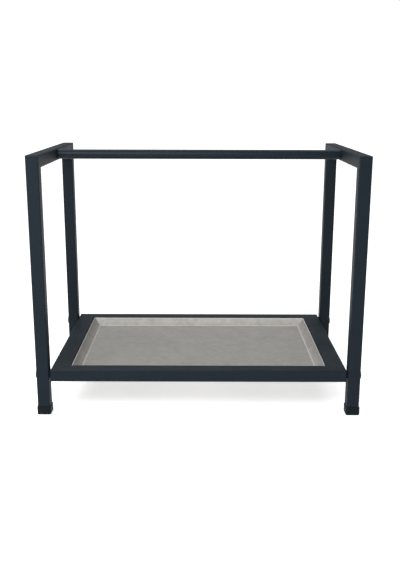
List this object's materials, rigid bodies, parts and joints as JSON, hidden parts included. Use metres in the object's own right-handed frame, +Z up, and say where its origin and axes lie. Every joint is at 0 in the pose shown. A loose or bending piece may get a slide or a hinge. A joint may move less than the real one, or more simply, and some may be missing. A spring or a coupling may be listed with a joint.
{
  "type": "firewood log rack",
  "caption": "Open steel rack for split logs: two square-tube side frames, a round top bar and a low bolted shelf frame with a shallow bark tray.",
  "frame": {"origin": "on the floor, under the middle of the rack", "axes": "+X across the rack to the right as seen from the front, +Y from front to back, +Z up"},
  "size_m": [0.6544, 0.408, 0.52],
  "materials": {
    "frame_paint": "fine-textured near-black powder coat with a slight blue cast",
    "tray_sheet": "dull zinc-coated sheet, mid grey",
    "cap_plastic": "moulded black plastic with a fine spark-eroded grain",
    "bolt_steel": "black-finished steel",
    "plug_steel": "plain zinc-plated steel, hidden inside the tubes"
  },
  "bodies": {
    "root": {"left_front_leg": "frame_paint", "left_rear_leg": "frame_paint", "left_top_rail": "frame_paint", "right_front_leg": "frame_paint", "right_rear_leg": "frame_paint", "right_top_rail": "frame_paint", "top_bar": "frame_paint", "shelf_front_rail": "frame_paint", "shelf_rear_rail": "frame_paint", "shelf_left_side": "frame_paint", "shelf_right_side": "frame_paint", "left_tray_bearer": "frame_paint", "right_tray_bearer": "frame_paint", "bark_tray": "tray_sheet", "front_left_foot": "cap_plastic", "front_right_foot": "cap_plastic", "rear_left_foot": "cap_plastic", "rear_right_foot": "cap_plastic", "bar_bolts": "bolt_steel", "shelf_bolts": "bolt_steel", "shelf_spacers": "cap_plastic", "bar_end_plugs": "plug_steel", "rail_end_plugs": "plug_steel"}
  },
  "joints": []
}
